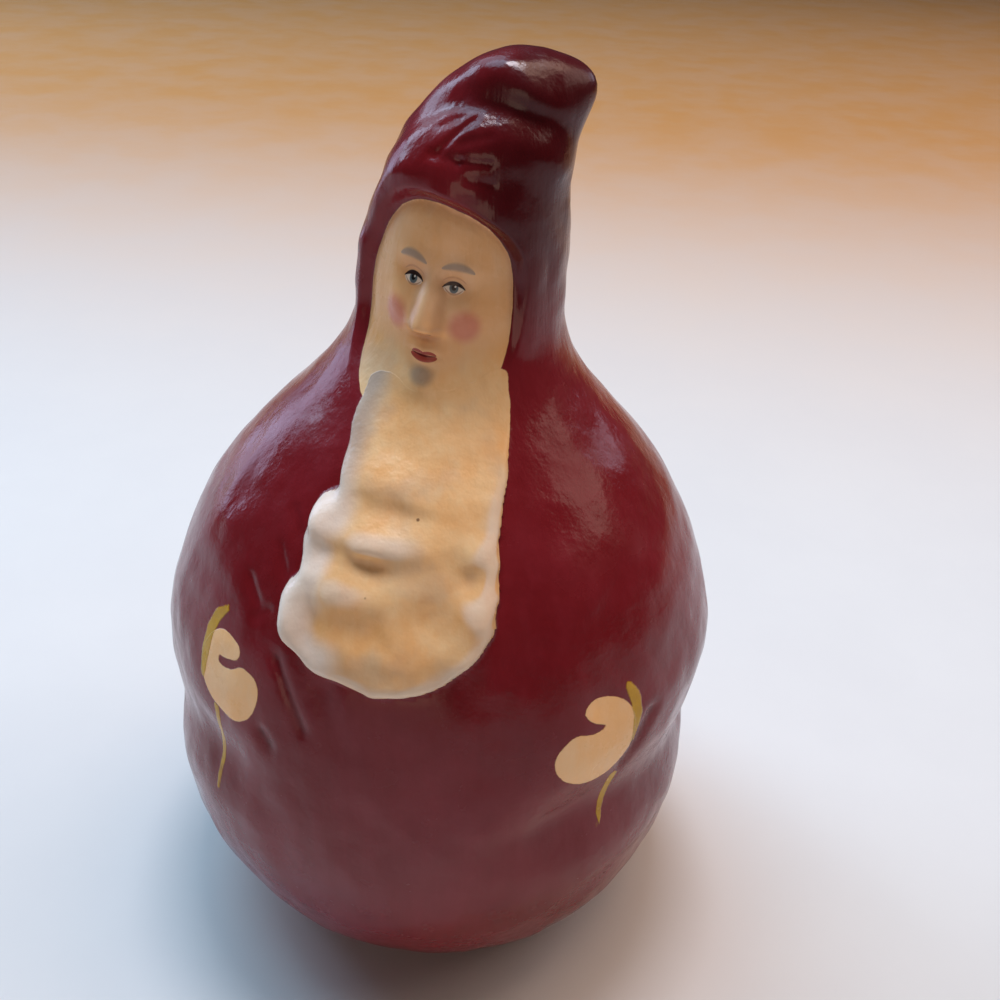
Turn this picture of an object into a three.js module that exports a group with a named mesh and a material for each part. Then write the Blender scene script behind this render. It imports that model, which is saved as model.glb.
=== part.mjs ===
import {
  BufferGeometry, CatmullRomCurve3, CubicBezierCurve, Float32BufferAttribute, Group, MathUtils,
  Mesh, MeshStandardMaterial, Vector2, Vector3,
} from "three";

// A bottle gourd painted as a bearded figure in a hooded robe, in one piece.
// Millimetres, +Z up, the figure faces -Y and its hat leans towards +X.
// "across" runs round the skin from the front, "level" is a height in per cent of the whole.

// Driving sizes
const HEIGHT = 146;
const BULB_WIDTH = 92;
const NECK_WIDTH = 30.7;
const FOOT_WIDTH = 38;
const HAT_TIP_WIDTH = 12;
const SLEEVE_DEPTH = 1.8;
const BEARD_DEPTH = 2.4;
const HOOD_DEPTH = 1.8;
const NOSE_DEPTH = 2.6;
const FOLD_DEPTH = 1.3;

// Levels and handles of the bottle's outline
const WIDEST_LEVEL = 28.6;
const BASE_SQUARENESS = 2.42;
const SHOULDER_HANDLE = 33.4;
const NECK_HANDLE = 13.5;
const NECK_LEVEL = 76.8;
const SWAY = 1.7;
const LEAN_START = 19;
const LEAN = 2.7;
const LEAN_POWER = 1.1;

// The hat's bent spine and its rounding off
const HAT_RISE = 11.6;
const HAT_BEND = [4.8, 95.4];
const HAT_TIP = [12.9, 97.2];
const HAT_TAPER_POWER = 1.4;
const HAT_NOSE = 0.34;
const CROWN_STEPS = 80;
const CROWN_PASSES = 4;

// Outline of the beard, [across, level] in per cent of the height
const BEARD_OUTLINE = [
  [-8.3, 70.5], [-8.6, 66], [-8.8, 62.8], [-11.1, 60.4], [-11.1, 57.6], [-12.6, 53.2], [-12.1, 50.7],
  [-9.4, 48.7], [-5.4, 48.2], [-2.4, 47.3], [0.8, 48], [4.6, 49.9], [7.2, 52.3], [8.1, 55.8],
  [7.4, 60.5], [7.1, 66], [6.7, 69.6], [6.2, 73], [2.4, 72], [-2.2, 70.8], [-6.2, 71.4],
];
const OUTLINE_STEPS = 96;
const BEARD_EDGE = 2.4;
const BEARD_FADE = [62, 70.5];

// The hood's oval opening, which leans with the hat: middle and half sizes in per cent of the height
const OPENING_MIDDLE = [-2.7, 77.4];
const OPENING_REACH = [9.3, 9.5];
const OPENING_SQUARENESS = 2.35;
const OPENING_LEAN = 0.1;
const OPENING_CORNERS = 16;
const HOOD_EDGE = 1.6;

// Lumps of the beard: across, level, half width, half height, rise in millimetres
const BEARD_LUMPS = [
  [-5.4, 68.4, 1.4, 4.5, 0.7], [-9.1, 60.6, 1.6, 1.5, 1.2], [-11, 52, 1.5, 2.1, 1.2],
  [-3.2, 60.2, 4.2, 1.2, 1.3], [-6.4, 56.2, 2.8, 1.5, 1.1], [5.7, 56, 1.7, 1.6, 1.0],
  [5.7, 60.2, 1.5, 1.2, 0.7], [-1.2, 51.6, 4.4, 1.8, 0.5], [-3.6, 64.6, 3.6, 1.3, 0.8],
  [-2.6, 66.2, 2.4, 1, -0.5], [-2.4, 62.3, 3.4, 0.9, -0.9], [-4.2, 58.2, 2.4, 1.1, -1.2],
  [5, 58, 1.2, 1, -0.8], [-8.9, 53.2, 1.1, 2.4, -0.7], [-8.2, 58.4, 1.3, 1.1, -0.7],
  [3.2, 54.5, 2.2, 1.4, -0.7], [-4.1, 53.4, 2.4, 1.2, -0.7],
];

// The face is laid out in thirds: hood to brow, brow to nose base, nose base to chin
const FACE_AXIS = -2.2;
const CHIN_LEVEL = 70.4;
const FACE_THIRD = 5.8;
// Its rounded forms: across and up from the middle of the brow, half width, half height, in thirds
const FACE_FORMS = [
  [-0.38, 0.02, 0.34, 0.16, 0.45], [0.38, 0.02, 0.34, 0.16, 0.45], [0, 0.45, 0.8, 0.4, 0.5],
  [-0.4, -0.27, 0.3, 0.17, -0.7], [0.4, -0.27, 0.3, 0.17, -0.7],
  [-0.4, -0.29, 0.15, 0.1, 0.5], [0.4, -0.29, 0.15, 0.1, 0.5],
  [-0.62, -0.72, 0.3, 0.3, 0.7], [0.62, -0.72, 0.3, 0.3, 0.7],
  [0, -1.3, 0.26, 0.09, 0.5], [0, -1.46, 0.2, 0.09, 0.45], [0, -1.85, 0.3, 0.2, 0.6],
];

// Sleeves: side, level of the lower edge at the hand and how far it hangs lower at the elbow, share of
// the full depth, depth and half width of the fold under the edge, levels where the top dies away
const SLEEVES = [
  { side: -1, edge: 36.5, hang: 5, swell: 0.35, fold: 1.5, foldWidth: 4, top: [42, 66] },
  { side: 1, edge: 34.8, hang: 0.6, swell: 0.8, fold: 2.4, foldWidth: 4.6, top: [54, 74] },
];
const SLEEVE_INNER = [18, 36];
const SLEEVE_OUTER = [85, 140];
const SLEEVE_RISE = [-1.6, 9];

// Creases in the robe: from and to [across, level], half width, depth in millimetres
const CREASES = [
  [[-13, 47.6], [-9.6, 41.6], 0.7, 0.45],
  [[-7.6, 46.4], [-5.2, 41], 1.6, 0.4],
  [[-14.6, 39], [-13.8, 38.2], 0.9, 0.6],
  [[27.4, 41.6], [25.4, 35.6], 0.8, 0.6],
];

// The hat's fold, per cent above the neck along the skin, rises from left to right round the front
const FOLD_RISE = 21;
const FOLD_SLANT = 14.5;
const FOLD_WIDTH = 1.9;
const LOBE_RISE = 0.8;
const FOLD_ENDS = [50, 88];

// Facets: the columns gather at the front, and two of them follow the edges of face and beard
const COLUMNS = 68;
const EDGE_COLUMNS = [23, 43];
const FRONT_TURN = -6;
const FRONT_GATHER = 0.5;
const END_INSET = 4;
const EDGE_FADE = 16;
const RING_BANDS = [
  [0, 1, 8], [1, 1.2, 8], [1.2, 1.28, 6], [1.28, 2, 22], [2, 2.5, 13], [2.5, 2.9, 7], [2.9, 3, 4],
];

const UNIT = HEIGHT / 100;
const BULB_RADIUS = BULB_WIDTH / 2;
const NECK_RADIUS = NECK_WIDTH / 2;
const FOOT_RADIUS = FOOT_WIDTH / 2;

const { clamp, degToRad, lerp, mapLinear, radToDeg, smoothstep } = MathUtils;

// From the foot to the widest ring, a squared quarter round
function baseStation(t) {
  const turn = t * Math.PI / 2;
  const power = 2 / BASE_SQUARENESS;
  return {
    level: WIDEST_LEVEL * (1 - Math.cos(turn) ** power),
    radius: lerp(FOOT_RADIUS, BULB_RADIUS, Math.sin(turn) ** power),
  };
}

// From the widest ring up to the neck
const shoulderCurve = new CubicBezierCurve(
  new Vector2(BULB_RADIUS, WIDEST_LEVEL),
  new Vector2(BULB_RADIUS, WIDEST_LEVEL + SHOULDER_HANDLE),
  new Vector2(NECK_RADIUS, NECK_LEVEL - NECK_HANDLE),
  new Vector2(NECK_RADIUS, NECK_LEVEL),
);

function shoulderStation(t) {
  const point = shoulderCurve.getPoint(t);
  return { level: point.y, radius: point.x };
}

// The bulb sways to the left over its foot and the stem leans back to the right above it
function lean(level) {
  const span = NECK_LEVEL - LEAN_START;
  const share = clamp((level - LEAN_START) / span, 0, 1);
  const below = clamp(1 - level / WIDEST_LEVEL, 0, 1);
  return {
    x: LEAN * share ** LEAN_POWER - SWAY * (1 - below ** 2),
    slope: share > 0 ? LEAN_POWER * LEAN * share ** (LEAN_POWER - 1) / span : 0,
  };
}

function hatRadius(t) {
  const taper = lerp(NECK_RADIUS, HAT_TIP_WIDTH / 2, t ** HAT_TAPER_POWER);
  const end = clamp((t - 1 + HAT_NOSE) / HAT_NOSE, 0, 1);
  return taper * Math.sqrt(1 - end ** 2);
}

// The hat's spine leaves the neck along its lean and bends over to the tip
function spineWithLift(lift) {
  const start = lean(NECK_LEVEL);
  const foot = new Vector2(start.x, NECK_LEVEL);
  const rise = new Vector2(start.slope, 1).setLength(HAT_RISE);
  const raised = ([x, level]) => new Vector2(x, level + lift);
  return new CubicBezierCurve(foot, foot.clone().add(rise), raised(HAT_BEND), raised(HAT_TIP));
}

// The level of the hat's upper edge where it is highest
function crownLevel(curve) {
  const edge = Array.from({ length: CROWN_STEPS + 1 }, (_, i) => {
    const t = i / CROWN_STEPS;
    return curve.getPoint(t).y + hatRadius(t) / UNIT * curve.getTangent(t).x;
  });
  return Math.max(...edge);
}

// Bend and tip are set so that the crown of the hat stands at the full height, whatever the widths
function hatSpine() {
  let lift = 0;
  for (let pass = 0; pass < CROWN_PASSES; pass += 1) {
    lift += 100 - crownLevel(spineWithLift(lift));
  }
  return spineWithLift(lift);
}
const spine = hatSpine();

function hatStation(t) {
  const point = spine.getPoint(t);
  const heading = spine.getTangent(t);
  return {
    x: point.x,
    level: point.y,
    tilt: Math.atan2(heading.x, heading.y),
    radius: hatRadius(t),
  };
}

// A ring of the bare gourd, 0 at the foot, 1 at the widest, 2 at the neck, 3 at the tip
function stationAt(t) {
  if (t > 2) {
    return hatStation(t - 2);
  }
  const station = t > 1 ? shoulderStation(t - 1) : baseStation(t);
  const { x, slope } = lean(station.level);
  return { x, tilt: Math.atan(slope), ...station };
}

// Length along the skin at the front, so that outlines keep their shape on slopes
function measureSkin(steps) {
  const stops = [];
  let length = 0;
  let last = null;
  for (let i = 0; i <= steps; i += 1) {
    const t = 3 * i / steps;
    const { x, level, radius } = stationAt(t);
    const point = new Vector3(x * UNIT, -radius, level * UNIT);
    length += last ? point.distanceTo(last) : 0;
    stops.push({ t, level, length });
    last = point;
  }
  return stops;
}
const skin = measureSkin(480);

function lookUp(from, value, to) {
  const next = skin.findIndex((stop) => stop[from] >= value);
  const high = skin[Math.max(next, 1)];
  const low = skin[Math.max(next, 1) - 1];
  return lerp(low[to], high[to], clamp((value - low[from]) / (high[from] - low[from]), 0, 1));
}

function onSkin([across, level]) {
  return new Vector2(across * UNIT, lookUp("level", level, "length"));
}

function outline(points) {
  const corners = points.map(onSkin).map((p) => new Vector3(p.x, p.y, 0));
  return new CatmullRomCurve3(corners, true, "centripetal").getPoints(OUTLINE_STEPS);
}
const beardOutline = outline(BEARD_OUTLINE);

function hoodOpening() {
  const squared = (part) => Math.sign(part) * Math.abs(part) ** (2 / OPENING_SQUARENESS);
  return Array.from({ length: OPENING_CORNERS }, (_, i) => {
    const turn = 2 * Math.PI * i / OPENING_CORNERS;
    const side = OPENING_REACH[0] * squared(Math.cos(turn));
    const rise = OPENING_REACH[1] * squared(Math.sin(turn));
    return [OPENING_MIDDLE[0] + side + OPENING_LEAN * rise, OPENING_MIDDLE[1] + rise];
  });
}
const faceOutline = outline(hoodOpening());

function distanceToLine(p, a, b) {
  const edgeX = b.x - a.x;
  const edgeY = b.y - a.y;
  const along = clamp(
    ((p.x - a.x) * edgeX + (p.y - a.y) * edgeY) / (edgeX ** 2 + edgeY ** 2 || 1), 0, 1,
  );
  return Math.hypot(p.x - a.x - along * edgeX, p.y - a.y - along * edgeY);
}

// Millimetres inside a closed outline, negative outside it
function depthInside(p, loop) {
  let nearest = Infinity;
  let inside = false;
  for (let i = 1; i < loop.length; i += 1) {
    const a = loop[i - 1];
    const b = loop[i];
    nearest = Math.min(nearest, distanceToLine(p, a, b));
    if ((a.y > p.y) !== (b.y > p.y) && p.x < a.x + (b.x - a.x) * (p.y - a.y) / (b.y - a.y)) {
      inside = !inside;
    }
  }
  return inside ? nearest : -nearest;
}

const dome = (x, y) => Math.exp(-(x ** 2) - y ** 2);

// Rises from nothing at an outline to one at the given depth inside, rounded at the top
function rounded(depth, width) {
  const share = clamp(depth / width, 0, 1);
  return Math.sqrt(1 - (1 - share) ** 2);
}

const beardLumps = BEARD_LUMPS.map(([across, level, width, height, rise]) => (
  { at: onSkin([across, level]), width: width * UNIT, height: height * UNIT * 1.3, rise }
));

// The beard is a lumpy slab with a rounded edge, which thins out upwards into the cheeks
function beardRelief(p, level) {
  const depth = depthInside(p, beardOutline);
  if (depth < 0) {
    return 0;
  }
  const lumps = beardLumps.reduce((sum, { at, width, height, rise }) => (
    sum + rise * dome((p.x - at.x) / width, (p.y - at.y) / height)
  ), 0);
  return rounded(depth, BEARD_EDGE) * (BEARD_DEPTH + lumps) * (1 - smoothstep(level, ...BEARD_FADE));
}

// The nose widens and rises from the brow down to its base
function noseRelief(x, y) {
  const down = clamp(-y, 0, 1);
  const width = lerp(0.12, 0.3, down ** 1.3);
  const rise = NOSE_DEPTH * smoothstep(down, -0.15, 0.9) * smoothstep(y, -1.12, -0.9);
  return rise * dome(x / width, 0) * (1 - smoothstep(y, -0.1, 0.25));
}

const faceThird = FACE_THIRD * UNIT;
const browAt = onSkin([FACE_AXIS, CHIN_LEVEL + 2 * FACE_THIRD]);

function faceForms(p) {
  const x = (p.x - browAt.x) / faceThird;
  const y = (p.y - browAt.y) / faceThird;
  const forms = FACE_FORMS.reduce((sum, [across, up, width, height, rise]) => (
    sum + rise * dome((x - across) / width, (y - up) / height)
  ), 0);
  return forms + noseRelief(x, y);
}

// The face lies back inside the hood, whose rim stands up round it
function faceRelief(p) {
  const depth = depthInside(p, faceOutline);
  const chin = lookUp("level", CHIN_LEVEL, "length");
  const hooded = smoothstep(p.y, chin, browAt.y);
  const leftward = smoothstep(browAt.x - p.x, -4 * UNIT, 6 * UNIT);
  const beside = leftward * smoothstep(p.y, chin - 4 * UNIT, chin + 4 * UNIT);
  const sunk = HOOD_DEPTH * Math.max(hooded, beside) * smoothstep(depth, -HOOD_EDGE, 0);
  const brim = dome((depth + 2 * HOOD_EDGE) / HOOD_EDGE, 0);
  const rim = 0.3 * HOOD_DEPTH * brim * hooded * lerp(0.35, 1, leftward);
  return faceForms(p) * smoothstep(depth, 0, HOOD_EDGE) - sunk + rim;
}

function sleeveRelief(turn, level, { side, edge, hang, swell, fold, foldWidth, top }) {
  const angle = side * turn;
  if (angle < 0) {
    return 0;
  }
  const around = smoothstep(angle, ...SLEEVE_INNER) * (1 - smoothstep(angle, ...SLEEVE_OUTER));
  const above = level - edge + hang * smoothstep(angle, SLEEVE_INNER[1], SLEEVE_OUTER[0]);
  const upward = smoothstep(above, ...SLEEVE_RISE) * (1 - smoothstep(level, ...top));
  const under = fold * dome((above + foldWidth) / foldWidth, 0);
  return around * (SLEEVE_DEPTH * swell * upward - under);
}

const creases = CREASES.map(([from, to, width, depth]) => (
  { from: onSkin(from), to: onSkin(to), width: width * UNIT, depth }
));

function creaseRelief(p) {
  return creases.reduce((sum, { from, to, width, depth }) => (
    sum - depth * dome(distanceToLine(p, from, to) / width, 0)
  ), 0);
}

// A crease round the front of the hat between two swelling lobes
function foldRelief(turn, t, length) {
  if (t < 2) {
    return 0;
  }
  const around = 1 - smoothstep(Math.abs(turn), ...FOLD_ENDS);
  const rise = (length - lookUp("t", 2, "length")) / UNIT;
  const gap = (rise - FOLD_RISE - FOLD_SLANT * turn / 180) / FOLD_WIDTH;
  const lobes = LOBE_RISE * (dome((gap - 2.2) / 1.6, 0) + dome((gap + 2.2) / 1.6, 0));
  return around * (lobes - FOLD_DEPTH * dome(gap, 0)) * (1 - smoothstep(t, 2.7, 2.95));
}

// Everything that stands proud of the bare gourd at a turn from the front, in degrees
function relief(turn, t, station, length) {
  const p = new Vector2(degToRad(turn) * station.radius, length);
  const robe = SLEEVES.reduce(
    (sum, sleeve) => sum + sleeveRelief(turn, station.level, sleeve), creaseRelief(p),
  );
  return robe + foldRelief(turn, t, length) + faceRelief(p) + beardRelief(p, station.level);
}

function ringStops() {
  return RING_BANDS.flatMap(([from, to, count]) => (
    Array.from({ length: count }, (_, i) => lerp(from, to, i / count))
  ));
}

function evenTurn(column) {
  const share = 2 * column / COLUMNS - 1;
  return 180 * (share - FRONT_GATHER * Math.sin(Math.PI * share) / Math.PI) + FRONT_TURN;
}
const evenEdges = EDGE_COLUMNS.map(evenTurn);

function crossings(loop, length) {
  return loop.slice(1).flatMap((b, i) => {
    const a = loop[i];
    return (a.y > length) === (b.y > length) ? [] : [mapLinear(length, a.y, b.y, a.x, b.x)];
  });
}

// The turns of the left and right edge of face and beard at a ring, fading out above and below
const paintedLoops = [beardOutline, faceOutline];
const paintedEnds = [
  Math.min(...beardOutline.map((p) => p.y)) + END_INSET,
  Math.max(...faceOutline.map((p) => p.y)) - END_INSET,
];

function edgeTurns(t) {
  const length = lookUp("t", t, "length");
  const held = clamp(length, ...paintedEnds);
  const sides = paintedLoops.flatMap((loop) => crossings(loop, held));
  const away = smoothstep(Math.abs(length - held), 0, EDGE_FADE);
  const { radius } = stationAt(t);
  return [Math.min(...sides), Math.max(...sides)].map((x, i) => (
    lerp(radToDeg(x / Math.max(radius, 1)), evenEdges[i], away)
  ));
}

function columnTurns(t) {
  const edges = edgeTurns(t);
  const from = [FRONT_TURN - 180, ...evenEdges, FRONT_TURN + 180];
  const to = [FRONT_TURN - 180, ...edges, FRONT_TURN + 180];
  return Array.from({ length: COLUMNS }, (_, column) => {
    const turn = evenTurn(column);
    const stretch = from.slice(1, 3).filter((edge) => turn >= edge).length;
    return mapLinear(turn, from[stretch], from[stretch + 1], to[stretch], to[stretch + 1]);
  });
}

function wrapTurn(turn) {
  return MathUtils.euclideanModulo(turn + 180, 360) - 180;
}

function skinPoint(turn, t) {
  const station = stationAt(t);
  const proud = relief(wrapTurn(turn), t, station, lookUp("t", t, "length"));
  const reach = station.radius + (t > 0 ? proud : 0);
  const side = reach * Math.sin(degToRad(turn));
  return new Vector3(
    station.x * UNIT + side * Math.cos(station.tilt),
    -reach * Math.cos(degToRad(turn)),
    station.level * UNIT - side * Math.sin(station.tilt),
  );
}

// Quads are split along the diagonal that bends least, which keeps raised edges crisp
function addQuad(faces, points, [a, b, c, d]) {
  if (points[a].distanceToSquared(points[c]) < points[b].distanceToSquared(points[d])) {
    faces.push(a, b, c, a, c, d);
  } else {
    faces.push(a, b, d, b, c, d);
  }
}

function sweepSkin() {
  const stops = ringStops();
  const points = stops.flatMap((t) => columnTurns(t).map((turn) => skinPoint(turn, t)));
  const faces = [];
  for (let ring = 1; ring < stops.length; ring += 1) {
    for (let i = 0; i < COLUMNS; i += 1) {
      const next = (i + 1) % COLUMNS;
      const low = (ring - 1) * COLUMNS;
      addQuad(faces, points, [low + i, low + next, low + COLUMNS + next, low + COLUMNS + i]);
    }
  }
  return { points, faces };
}

// The flat foot and the tip of the hat close the sweep
function closeEnds({ points, faces }) {
  const tip = stationAt(3);
  const foot = points.push(new Vector3(0, 0, 0)) - 1;
  const peak = points.push(new Vector3(tip.x * UNIT, 0, tip.level * UNIT)) - 1;
  const lastRing = foot - COLUMNS;
  for (let i = 0; i < COLUMNS; i += 1) {
    const next = (i + 1) % COLUMNS;
    faces.push(foot, next, i, peak, lastRing + i, lastRing + next);
  }
}

function figureGeometry() {
  const body = sweepSkin();
  closeEnds(body);
  const corners = body.points.flatMap((point) => point.toArray());
  const geometry = new BufferGeometry();
  geometry.setAttribute("position", new Float32BufferAttribute(corners, 3));
  geometry.setIndex(body.faces);
  geometry.computeVertexNormals();
  return geometry;
}

function robePaint() {
  return new MeshStandardMaterial({ color: 0x641820, roughness: 0.3, metalness: 0 });
}

const figure = new Mesh(figureGeometry(), robePaint());
figure.name = "gourd_santa";

const part = new Group();
part.name = "gourd_santa_figure";
part.add(figure);

export default part;
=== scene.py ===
"""The looks of a bottle gourd painted as a bearded figure in a hooded robe.

The figure is one skin, swept round the gourd in the frame's own place. It faces -Y and its hat bends to +X.
The skin is laid out in millimetres: "across" runs round it from the front, "length" runs up the front
from the foot. Levels, and places on the skin given in pairs, are per cent of the whole height.
"""

import logging
import math
from dataclasses import dataclass, field
from enum import Enum
from functools import cached_property
from typing import Sequence

import bmesh
import bpy
import numpy as np
from mathutils import Matrix, Vector, noise


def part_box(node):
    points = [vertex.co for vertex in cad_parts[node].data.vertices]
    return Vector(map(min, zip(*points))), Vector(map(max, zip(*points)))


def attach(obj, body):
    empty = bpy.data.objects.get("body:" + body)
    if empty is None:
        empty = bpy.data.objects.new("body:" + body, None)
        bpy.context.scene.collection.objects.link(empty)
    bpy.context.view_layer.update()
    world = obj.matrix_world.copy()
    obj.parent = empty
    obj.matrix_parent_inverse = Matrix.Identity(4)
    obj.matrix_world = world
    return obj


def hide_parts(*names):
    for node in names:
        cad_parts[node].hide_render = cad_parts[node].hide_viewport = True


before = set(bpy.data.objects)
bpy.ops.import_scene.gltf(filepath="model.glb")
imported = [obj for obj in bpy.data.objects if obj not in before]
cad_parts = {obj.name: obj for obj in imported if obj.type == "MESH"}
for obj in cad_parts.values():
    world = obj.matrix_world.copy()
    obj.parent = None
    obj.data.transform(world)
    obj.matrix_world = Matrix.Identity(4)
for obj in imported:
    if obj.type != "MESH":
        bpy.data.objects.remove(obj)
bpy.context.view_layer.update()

log = logging.getLogger("gourd_figure")

MM = 0.001
NODE = "gourd_santa"

FOOT_STOP = 0.02
FAR = 12.0

Array = np.ndarray
Pair = tuple[float, float]
Colour = tuple[float, float, float, float]
Socket = bpy.types.NodeSocket
Node = bpy.types.Node
Tree = bpy.types.NodeTree
Thing = bpy.types.Object


class Trace(Enum):
    """What the skin's mesh carries for its paint, by attribute name."""

    SKIN = "skin"
    BEARD = "beard_depth"
    FACE = "face_depth"
    MITTEN = "mitten_depth"
    STAFF = "staff_depth"
    HOLLOW = "hollow"


def within(value: Array) -> Array:
    """Keeps a value from 0 to 1."""
    return np.clip(value, 0.0, 1.0)


def smoothstep(value: Array, low: float, high: float) -> Array:
    """Rises smoothly from 0 at low to 1 at high."""
    share = within((value - low) / (high - low))
    return share * share * (3.0 - 2.0 * share)


def dome(x: Array, y: Array | float = 0.0) -> Array:
    """A round rise of height one."""
    return np.exp(-(x**2) - y**2)


def rounded(depth: Array, width: float) -> Array:
    """Rises from nothing at an outline to one at the given depth inside, rounded at the top."""
    share = within(depth / width)
    return np.sqrt(1.0 - (1.0 - share) ** 2)


def bezier(corners: Array, t: Array) -> Array:
    """Points on a cubic curve.

    Args:
        corners: The curve's four corners, one to a row.
        t: Stops along it, 0 to 1.

    Returns:
        One point for each stop.
    """
    weights = np.stack([(1 - t) ** 3, 3 * (1 - t) ** 2 * t, 3 * (1 - t) * t**2, t**3], -1)
    return weights @ corners


def bezier_heading(corners: Array, t: Array) -> Array:
    """The direction in which a cubic curve runs at each stop, not brought to unit length."""
    weights = np.stack([(1 - t) ** 2, 2 * (1 - t) * t, t**2], -1)
    return weights @ np.diff(corners, axis=0)


def srgb(red: int, green: int, blue: int) -> Colour:
    """A paint given as screen values 0 to 255, in the linear values that the shaders take."""
    parts = [value / 255 for value in (red, green, blue)]
    linear = [p / 12.92 if p <= 0.04045 else ((p + 0.055) / 1.055) ** 2.4 for p in parts]
    return (*linear, 1.0)


@dataclass
class Places:
    """Places on the skin, as arrays: turn from the front in degrees, stop, level, radius and skin layout."""

    turn: Array
    stop: Array
    level: Array
    radius: Array
    across: Array
    length: Array


@dataclass
class Gourd:
    """The bare bottle gourd: round rings from the flat foot to the tip of its bent neck.

    Stops run from 0 at the foot by 1 at the widest ring and 2 at the neck to 3 at the tip.
    """

    height: float
    bulb_width: float = 92.0
    neck_width: float = 30.7
    foot_width: float = 38.0
    tip_width: float = 12.0
    widest_level: float = 28.6
    base_squareness: float = 2.42
    shoulder_handle: float = 33.4
    neck_handle: float = 13.5
    neck_level: float = 76.8
    sway: float = 1.7
    lean_start: float = 19.0
    lean: float = 2.7
    lean_power: float = 1.1
    hat_rise: float = 11.6
    hat_bend: Pair = (4.8, 95.4)
    hat_tip: Pair = (12.9, 97.2)
    taper_power: float = 1.4
    hat_nose: float = 0.34

    @property
    def unit(self) -> float:
        """One per cent of the height, in millimetres."""
        return self.height / 100

    def sides(self, t: Array) -> tuple[Array, Array]:
        """Level and radius of the body's rings for stops 0 to 2."""
        turn = within(t) * math.pi / 2
        power = 2 / self.base_squareness
        low = self.widest_level * (1 - np.abs(np.cos(turn)) ** power)
        low_radius = self.foot_width / 2 + (self.bulb_width - self.foot_width) / 2 * np.sin(turn) ** power
        curve = np.array([
            (self.bulb_width / 2, self.widest_level),
            (self.bulb_width / 2, self.widest_level + self.shoulder_handle),
            (self.neck_width / 2, self.neck_level - self.neck_handle),
            (self.neck_width / 2, self.neck_level),
        ])
        high = bezier(curve, within(t - 1))
        return np.where(t > 1, high[:, 1], low), np.where(t > 1, high[:, 0], low_radius)

    def leaning(self, level: Array) -> tuple[Array, Array]:
        """Sideways place of a ring, in per cent of the height, and the slope there."""
        span = self.neck_level - self.lean_start
        share = within((level - self.lean_start) / span)
        below = within(1 - level / self.widest_level)
        side = self.lean * share**self.lean_power - self.sway * (1 - below**2)
        slope = self.lean_power * self.lean * share ** (self.lean_power - 1) / span
        return side, np.where(share > 0, slope, 0.0)

    def hat_radius(self, t: Array) -> Array:
        """Radius of the hat's rings, 0 at the neck to 1 at the tip, rounded off at its end."""
        taper = self.neck_width / 2 + (self.tip_width - self.neck_width) / 2 * t**self.taper_power
        end = within((t - 1 + self.hat_nose) / self.hat_nose)
        return taper * np.sqrt(1 - end**2)

    def lifted_spine(self, lift: float) -> Array:
        """The corners of the hat's spine with its bend and tip moved up by a number of levels."""
        side, slope = (float(value[0]) for value in self.leaning(np.array([self.neck_level])))
        foot = np.array([side, self.neck_level])
        rise = np.array([slope, 1.0]) / math.hypot(slope, 1.0) * self.hat_rise
        raised = np.array([0.0, lift])
        return np.array([foot, foot + rise, self.hat_bend + raised, self.hat_tip + raised])

    @cached_property
    def spine(self) -> Array:
        """The hat's spine, set so that the crown of the hat stands at the full height."""
        t = np.linspace(0.0, 1.0, 81)
        lift = 0.0
        for _ in range(4):
            corners = self.lifted_spine(lift)
            heading = bezier_heading(corners, t)
            leaning = heading[:, 0] / np.linalg.norm(heading, axis=1)
            lift += 100 - float(np.max(bezier(corners, t)[:, 1] + self.hat_radius(t) / self.unit * leaning))
        return self.lifted_spine(lift)

    def rings(self, t: Array) -> tuple[Array, Array, Array, Array]:
        """Sideways place and level in per cent, tilt, and radius in millimetres of the rings."""
        level, radius = self.sides(t)
        side, slope = self.leaning(level)
        along = within(t - 2)
        point = bezier(self.spine, along)
        heading = bezier_heading(self.spine, along)
        hat = t > 2
        return (
            np.where(hat, point[:, 0], side),
            np.where(hat, point[:, 1], level),
            np.where(hat, np.arctan2(heading[:, 0], heading[:, 1]), np.arctan(slope)),
            np.where(hat, self.hat_radius(along), radius),
        )

    @cached_property
    def ladder(self) -> dict[str, Array]:
        """Stop, level and length up the front of the skin, rung by rung."""
        stop = np.linspace(0.0, 3.0, 961)
        side, level, _, radius = self.rings(stop)
        points = np.stack([side * self.unit, -radius, level * self.unit], -1)
        steps = np.linalg.norm(np.diff(points, axis=0), axis=1)
        return {"stop": stop, "level": level, "length": np.concatenate([[0.0], np.cumsum(steps)])}

    def look_up(self, source: str, value: Array | float, target: str) -> Array:
        """Reads one of the ladder's rows from another, up to the neck and a little over it."""
        rungs = np.argmax(self.ladder[source]) + 1
        return np.interp(value, self.ladder[source][:rungs], self.ladder[target][:rungs])

    def on_skin(self, pair: Pair) -> Array:
        """A pair in per cent of the height, as across and length in millimetres."""
        return np.array([pair[0] * self.unit, float(self.look_up("level", pair[1], "length"))])

    def places(self, turn: Array, stop: Array) -> Places:
        """Everything about the places at given turns and stops."""
        _, level, _, radius = self.rings(stop)
        length = self.look_up("stop", stop, "length")
        return Places(turn, stop, level, radius, np.radians(turn) * radius, length)

    def surface(self, places: Places, proud: Array) -> Array:
        """Where the places lie, in millimetres, with the skin standing proud of the bare gourd."""
        side, level, tilt, radius = self.rings(places.stop)
        reach = (radius + proud) * within(1 + places.stop / FOOT_STOP)
        out = reach * np.sin(np.radians(places.turn))
        return np.stack([
            side * self.unit * (places.stop >= 0) + out * np.cos(tilt),
            -reach * np.cos(np.radians(places.turn)),
            level * self.unit - out * np.sin(tilt),
        ], -1)


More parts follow.
